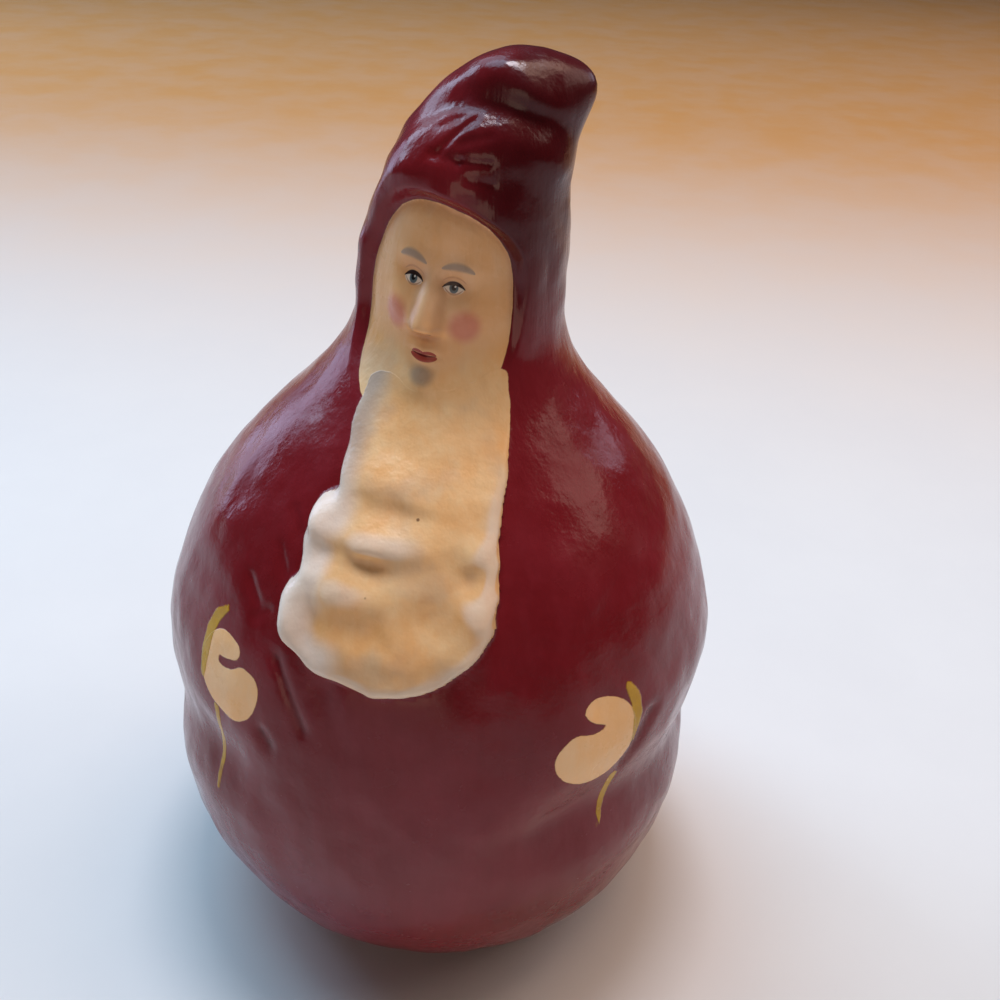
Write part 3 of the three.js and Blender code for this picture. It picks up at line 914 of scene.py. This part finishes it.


# Cool grey: random patches in the beard, and painted cool shade high on its left flank. Chalk: the paler
# paint and the painted highlight low on the beard.
COOL_GREY = srgb(166, 154, 146)
CHALK_AND_HIGHLIGHT = srgb(236, 230, 222)
# Skin shade: the colour of the painted shade round the eyes and nose, and of the fine lines round the eyes.
SKIN_SHADE = srgb(186, 132, 92)
SOFT_GREY = srgb(150, 138, 128)
LID_BROWN = srgb(44, 24, 18)
SPECK_BROWN = srgb(104, 66, 44)
BLUSH = srgb(206, 104, 98)
LIP_RED = srgb(160, 40, 42)
FACE_TOUCHES: tuple[Touch, ...] = (
    Touch(Mark.SPOT, BLUSH, (0.66, -0.86), (0.27, 0.25), 0.62, 0.42),
    # Painted shade: in the eye hollows, down the sides of the nose and under it.
    Touch(Mark.SPOT, SKIN_SHADE, (0.34, -0.16), (0.3, 0.2), 0.4, 0.7),
    Touch(Mark.SPOT, SKIN_SHADE, (0.22, -0.78), (0.09, 0.3), 0.45, 0.7),
    Touch(Mark.SPOT, SKIN_SHADE, (0.0, -1.1), (0.2, 0.07), 0.6, 0.6, paired=False),
    Touch(Mark.STROKE, SOFT_GREY, (0.44, 0.0), (0.3, 0.06), 0.75, 0.55, 0.08),
    Touch(Mark.STROKE, srgb(232, 220, 202), (0.4, -0.3), (0.19, 0.085), 0.85, 0.15, 0.0),
    Touch(Mark.SPOT, srgb(92, 104, 108), (0.4, -0.29), (0.082, 0.082), 1.0, 0.12),
    Touch(Mark.SPOT, srgb(20, 16, 16), (0.4, -0.28), (0.045, 0.045), 1.0, 0.2),
    Touch(Mark.STROKE, LID_BROWN, (0.4, -0.3), (0.215, 0.034), 1.0, 0.25, 0.085),
    Touch(Mark.STROKE, SKIN_SHADE, (0.4, -0.3), (0.18, 0.016), 0.8, 0.4, -0.085),
    Touch(Mark.STROKE, SKIN_SHADE, (0.4, -0.2), (0.22, 0.02), 0.6, 0.5, 0.09),
    # Painted highlights: a small white glint in each eye, on the same side of both.
    Touch(Mark.SPOT, srgb(244, 240, 232), (0.425, -0.262), (0.016, 0.016), 0.9, 0.3, paired=False),
    Touch(Mark.SPOT, srgb(244, 240, 232), (-0.375, -0.262), (0.016, 0.016), 0.9, 0.3, paired=False),
    Touch(Mark.SPOT, srgb(110, 50, 36), (0.09, -1.02), (0.04, 0.024), 0.9, 0.4),
    # Painted shade: grey in the hollow under the lower lip.
    Touch(Mark.SPOT, SOFT_GREY, (0.0, -1.72), (0.2, 0.15), 0.6, 0.5, paired=False),
    Touch(Mark.STROKE, LIP_RED, (0.0, -1.42), (0.25, 0.062), 0.9, 0.2, -0.02, paired=False),
    Touch(Mark.STROKE, LIP_RED, (0.1, -1.375), (0.13, 0.03), 0.9, 0.2, 0.03),
    Touch(Mark.STROKE, srgb(84, 16, 20), (0.0, -1.385), (0.24, 0.012), 0.85, 0.4, -0.02, paired=False),
)


@dataclass
class PaintedGourd:
    """The figure's finish: coats of gloss paint laid over each other, their heights in millimetres."""

    gourd: Gourd
    face: Face
    brushes: Brushes
    coat_height: float = 0.22
    streak_heights: Pair = (0.05, 0.16)
    streaks_change: Pair = (0.08, 0.1)
    fine_height: float = 0.03
    beard_height: float = 0.12
    mitten_height: float = 0.14
    staff_height: float = 0.08
    # The strength of the painted shade on the right side of the hat.
    hat_shade_strength: float = 0.7
    patch_strength: float = 0.22
    # The strength of the paler paint and painted highlight on the beard.
    pale_flank_and_highlight_strength: float = 0.7
    speck_strength: float = 0.8
    specular: float = 0.24
    coat: float = 0.1
    coat_roughness: float = 0.1

    def __post_init__(self) -> None:
        """Starts the material and the values that every coat reads."""
        self.material = bpy.data.materials.new("gloss_paint_on_gourd")
        self.material.use_nodes = True
        self.graph = graph = Graph(self.material.node_tree)
        self.shader = self.material.node_tree.nodes["Principled BSDF"]
        self.place = graph.node("TexCoord").outputs["Object"]
        self.skin = graph.trace(Trace.SKIN).outputs["Vector"]
        self.front = graph.ramp(graph.parts(self.skin)[2], 0.0, 0.1)
        self.hollow = graph.trace(Trace.HOLLOW).outputs["Fac"]
        self.waver = graph.sum("SUBTRACT", graph.noise(self.place, 650, 2), 0.5)
        along = graph.node("Mapping", Vector=self.place, Scale=(1.0, 1.0, 0.1)).outputs[0]
        self.streaks = graph.noise(along, 420, 3, 0.6)
        self.fine = graph.noise(self.place, 900, 4, 0.6)

    def edged(self, trace: Trace, waver: float, width: float) -> Socket:
        """A mask inside one of the painted outlines, with the slight waver of a hand-held brush."""
        depth = self.graph.trace(trace).outputs["Fac"]
        wavering = self.graph.sum("MULTIPLY_ADD", self.waver, waver, depth)
        return self.graph.times(self.graph.ramp(wavering, -width, width), self.front)

    def clouded(self, tin: Tin, scale: float, depth: float = 0.8) -> Socket:
        """A paint's uneven colour, clouds of a second tone and streaks, with painted shade of the given depth
        in the hollows.
        """
        graph, paint = self.graph, tin.value
        clouds = graph.ramp(graph.noise(self.place, scale, 4, 0.55), 0.32, 0.72)
        streaked = graph.times(graph.ramp(self.streaks, 0.35, 0.75), 0.35)
        mixed = graph.sum("ADD", graph.times(clouds, 0.75), streaked, clamp=True)
        colour = graph.blend(mixed, paint.main, paint.cloud)
        # Painted shade: darker towards the paint's deep colour in the hollows.
        deep = graph.times(graph.ramp(self.hollow, 0.06, 0.7), depth)
        return graph.blend(deep, colour, paint.deep)

    def face_place(self) -> tuple[Socket, Socket]:
        """Where the brush is on the face, in thirds, as it is and folded over to one side."""
        graph = self.graph
        brow, size = self.face.brow(self.gourd), self.face.third * self.gourd.unit
        offset = graph.vector("SUBTRACT", self.skin, (float(brow[0]), float(brow[1]), 0.0)).outputs[0]
        place = graph.vector("DIVIDE", offset, (size, size, 1.0)).outputs[0]
        parts = graph.parts(place)
        folded = graph.node("CombineXYZ", X=graph.sum("ABSOLUTE", parts[0]), Y=parts[1]).outputs[0]
        return place, folded

    def touched(self, touch: Touch, place: Socket, folded: Socket) -> Socket:
        """The mask of one touch of the brush."""
        where = folded if touch.paired else place
        given = {"Place": where, "Centre": (*touch.centre, 0.0), "Softness": touch.softness}
        width, thickness = touch.reach
        if touch.mark is Mark.SPOT:
            return self.graph.group(self.brushes.spot, **given, Reach=(width, thickness, 1.0))
        return self.graph.group(
            self.brushes.stroke, **given, Half_Width=width, Rise=touch.rise, Thickness=thickness,
        )

    def flesh(self, face: Socket, place: Socket) -> Socket:
        """Where flesh colour lies: inside the hood, and thinning out downwards into the whiskers."""
        graph = self.graph
        parts = graph.parts(place)
        lower = graph.sum("MULTIPLY_ADD", graph.sum("ABSOLUTE", parts[0]), -0.45, parts[1])
        return graph.times(face, graph.ramp(lower, -2.05, -1.35))

    def painted_face(self, colour: Socket, face: Socket) -> Socket:
        """Flesh colour and the features, with their painted shade and eye glints, over the coats below."""
        graph = self.graph
        place, folded = self.face_place()
        colour = graph.blend(self.flesh(face, place), colour, self.clouded(Tin.FLESH, 110, 0.45))
        for touch in FACE_TOUCHES:
            mask = graph.times(self.touched(touch, place, folded), touch.strength)
            colour = graph.blend(graph.times(mask, face), colour, touch.colour)
        return colour

    def specked(self, colour: Socket, cream: Socket) -> Socket:
        """A few small brown specks in the pale paint."""
        graph = self.graph
        cells = graph.node("TexVoronoi", Vector=self.place, Scale=170.0)
        kept = graph.ramp(graph.parts(cells.outputs["Color"])[0], 0.66, 0.68)
        speck = graph.fall(cells.outputs["Distance"], 0.03, 0.055)
        mask = graph.times(graph.times(speck, kept), cream)
        return graph.blend(graph.times(mask, self.speck_strength), colour, SPECK_BROWN)

    def robe(self) -> Socket:
        """The robe's red, with painted shade darkening the right side of the hat."""
        graph = self.graph
        parts = graph.parts(self.place)
        cloud = graph.sum("SUBTRACT", graph.noise(self.place, 90, 3), 0.5)
        side = graph.sum("MULTIPLY_ADD", cloud, 0.012, parts[0])
        # Painted shade: the right side of the hat is darkened towards the deep red.
        stroke_thickness_and_hat_shade = graph.times(graph.ramp(parts[2], 0.104, 0.126), graph.ramp(side, -0.001, 0.011))
        deep = Tin.ROBE.value.deep
        return graph.blend(graph.times(stroke_thickness_and_hat_shade, self.hat_shade_strength), self.clouded(Tin.ROBE, 55), deep)

    def whiskers(self, beard: Socket) -> Socket:
        """The beard's cream, patched at random with cool grey, lighter on its lower lumps as painted
        highlight and down its left flank as paler paint and painted cool light.
        """
        graph = self.graph
        cream = self.clouded(Tin.BEARD, 95, 0.5)
        patches = graph.ramp(graph.noise(self.place, 130, 3, 0.5), 0.5, 0.7)
        cream = graph.blend(graph.times(patches, self.patch_strength), cream, COOL_GREY)
        across = graph.parts(self.skin)[0]
        depth = graph.trace(Trace.BEARD).outputs["Fac"]
        # The left flank: paler paint, and painted cool light from the left.
        flank = graph.times(graph.fall(across, -11.0, -7.0), graph.fall(depth, 3.5, 7.0))
        low = graph.fall(graph.parts(self.place)[2], 0.09, 0.098)
        # Painted highlight on the raised lumps low on the beard.
        raised = graph.times(graph.ramp(self.hollow, -0.3, -0.05, 0.6, 0.0), low)
        pale_flank_and_highlight = graph.times(graph.sum("MAXIMUM", flank, raised), beard)
        pale_flank_and_highlight = graph.times(pale_flank_and_highlight, self.pale_flank_and_highlight_strength)
        # Low down the painted light is chalk white; higher up it is cool grey, a painted cool shade.
        return graph.blend(pale_flank_and_highlight, cream, graph.blend(low, COOL_GREY, CHALK_AND_HIGHLIGHT))

    def height(self, beard: Socket, mitten: Socket, staff: Socket) -> Socket:
        """The height of the paint in millimetres."""
        graph = self.graph
        coat = graph.times(graph.noise(self.place, 170, 4, 0.55), self.coat_height)
        upper = graph.ramp(graph.parts(self.place)[2], *self.streaks_change, *self.streak_heights)
        cream = graph.times(graph.noise(self.place, 330, 3, 0.5), self.beard_height)
        layers = (
            (self.streaks, upper), (self.fine, self.fine_height), (cream, beard),
            (mitten, self.mitten_height), (staff, self.staff_height),
        )
        for mask, height in layers:
            coat = graph.sum("MULTIPLY_ADD", mask, height, coat)
        return coat

    def finish(self) -> bpy.types.Material:
        """Lays the coats and joins them to the shader."""
        graph = self.graph
        beard, face = self.edged(Trace.BEARD, 0.5, 0.08), self.edged(Trace.FACE, 0.25, 0.08)
        mitten, staff = self.edged(Trace.MITTEN, 0.25, 0.09), self.edged(Trace.STAFF, 0.4, 0.14)
        cream = graph.sum("MAXIMUM", beard, face)
        colour = graph.blend(cream, self.robe(), self.whiskers(beard))
        colour = self.painted_face(colour, face)
        colour = self.specked(colour, cream)
        colour = graph.blend(mitten, colour, self.clouded(Tin.MITTEN, 120))
        strength = graph.times(staff, graph.ramp(self.streaks, 0.2, 0.5, 0.75, 1.0))
        colour = graph.blend(strength, colour, self.clouded(Tin.STAFF, 200))
        pale = graph.sum("MAXIMUM", cream, mitten)
        roughness = graph.mingle(pale, Tin.ROBE.value.roughness, Tin.BEARD.value.roughness)
        worn = graph.ramp(graph.noise(self.place, 130, 4, 0.6), 0.3, 0.75, -0.05, 0.12)
        height = self.height(beard, mitten, staff)
        bump = graph.node("Bump", Height=height, Strength=1.0, Distance=MM)
        graph.feed(self.shader.inputs["Base Color"], colour)
        graph.feed(self.shader.inputs["Roughness"], graph.sum("ADD", roughness, worn))
        graph.feed(self.shader.inputs["Normal"], bump.outputs[0])
        self.shader.inputs["Specular IOR Level"].default_value = self.specular
        self.shader.inputs["Coat Weight"].default_value = self.coat
        self.shader.inputs["Coat Roughness"].default_value = self.coat_roughness
        return self.material


@dataclass(frozen=True)
class Lamp:
    """A soft round light that faces the figure.

    Place is its azimuth from the front and its elevation in degrees. Distance and width are in metres.
    """

    name: str
    place: Pair
    distance: float
    width: float
    watts: float
    tint: Colour

    def hang(self) -> None:
        """Puts the light in the scene."""
        turn, tip = (math.radians(value) for value in self.place)
        out = outward(turn, tip)
        data = bpy.data.lights.new(self.name, "AREA")
        data.shape = "DISK"
        data.size = self.width
        data.energy = self.watts
        data.color = self.tint[:3]
        facing = out.to_track_quat("Z", "Y").to_matrix().to_4x4()
        link(data, self.name).matrix_world = Matrix.Translation(out * self.distance) @ facing


LAMPS: tuple[Lamp, ...] = (
    Lamp("window_behind", (-146, 44), 1.6, 1.0, 4.2, srgb(190, 226, 255)),
    Lamp("window_left", (-124, 10), 1.2, 0.5, 1.8, srgb(206, 214, 255)),
    Lamp("window_right", (134, 24), 1.4, 0.5, 1.3, srgb(232, 232, 255)),
    Lamp("side_window", (-119, 34), 1.4, 0.6, 5.4, srgb(196, 222, 255)),
    Lamp("side_lamp", (106, 42), 1.4, 0.9, 4.2, srgb(255, 228, 212)),
    Lamp("high_window", (-128, 67), 1.4, 0.75, 6.6, srgb(176, 222, 255)),
    Lamp("high_lamp", (124, 70), 1.4, 0.65, 4.4, srgb(255, 218, 194)),
    Lamp("ceiling_lamp", (174, 82), 0.8, 0.2, 2.6, srgb(244, 240, 250)),
    Lamp("front_fill", (-8, 9), 1.0, 0.7, 1.9, srgb(255, 222, 200)),
)


def outward(turn: float, tip: float) -> Vector:
    """The direction at an azimuth from the front and an elevation, both in radians."""
    return Vector((math.sin(turn) * math.cos(tip), -math.cos(turn) * math.cos(tip), math.sin(tip)))


@dataclass
class Studio:
    """The pale floor, the soft lights and the camera."""

    azimuth: float = 5.0
    elevation: float = 32.4
    distance: float = 177.3
    aim_side: float = 8.2
    aim_height: float = 75.6
    roll: float = 2.3
    view_angle: float = 50.0
    floor_reach: float = 1.6
    room_light: float = 0.045

    def camera(self) -> None:
        """Sets up the camera at the photograph's angle."""
        turn, tip = math.radians(self.azimuth), math.radians(self.elevation)
        back = outward(turn, tip)
        aim = Vector((self.aim_side * math.cos(turn), self.aim_side * math.sin(turn), self.aim_height)) * MM
        data = bpy.data.cameras.new("view")
        data.angle = math.radians(self.view_angle)
        data.clip_start = 0.01
        eye = link(data, "view")
        facing = (-back).to_track_quat("-Z", "Y").to_matrix()
        rolled = facing @ Matrix.Rotation(math.radians(self.roll), 3, "Z")
        eye.matrix_world = Matrix.Translation(aim + back * self.distance * MM) @ rolled.to_4x4()
        bpy.context.scene.camera = eye

    def floor(self) -> Thing:
        """Lays the pale floor."""
        form = bmesh.new()
        bmesh.ops.create_grid(form, x_segments=1, y_segments=1, size=self.floor_reach)
        mesh = bpy.data.meshes.new("pale_floor")
        form.to_mesh(mesh)
        form.free()
        return link(mesh, "pale_floor")

    def floor_finish(self) -> bpy.types.Material:
        """A pale painted board, a touch warmer far behind the figure."""
        material = bpy.data.materials.new("pale_board")
        material.use_nodes = True
        graph = Graph(material.node_tree)
        shader = material.node_tree.nodes["Principled BSDF"]
        place = graph.node("TexCoord").outputs["Object"]
        away = graph.parts(place)[1]
        warm = graph.ramp(away, 0.06, 0.64)
        colour = graph.blend(warm, srgb(226, 226, 222), srgb(212, 152, 90))
        grain = graph.ramp(graph.noise(place, 25, 5, 0.6), 0.3, 0.7)
        colour = graph.blend(graph.times(grain, 0.12), colour, srgb(206, 205, 204))
        graph.feed(shader.inputs["Base Color"], colour)
        shader.inputs["Roughness"].default_value = 0.55
        shader.inputs["Specular IOR Level"].default_value = 0.2
        return material

    def sky(self) -> None:
        """Fills the room with soft even light."""
        world = bpy.data.worlds.new("soft_room")
        world.use_nodes = True
        back = world.node_tree.nodes["Background"]
        back.inputs["Color"].default_value = srgb(226, 232, 244)
        back.inputs["Strength"].default_value = self.room_light
        bpy.context.scene.world = world

    def build(self) -> None:
        """Sets the stage round the figure."""
        floor = self.floor()
        floor.data.materials.append(self.floor_finish())
        self.sky()
        for lamp in LAMPS:
            lamp.hang()
        self.camera()
        bpy.context.scene.view_settings.view_transform = "Standard"


def main() -> None:
    """Builds the figure and its studio, and notes the sizes."""
    logging.basicConfig(level=logging.INFO, format="%(name)s: %(message)s")
    low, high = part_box(NODE)
    gourd = Gourd(height=high.z / MM)
    figure = Figure(gourd)
    skin = figure.build()
    skin.data.materials.append(PaintedGourd(gourd, figure.face, Brushes()).finish())
    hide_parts(NODE)
    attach(skin, "root")
    log.info("%s: %d faces, %.1f mm tall", skin.name, len(skin.data.polygons), gourd.height)
    Studio().build()
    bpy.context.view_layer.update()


if __name__ == "__main__":
    main()
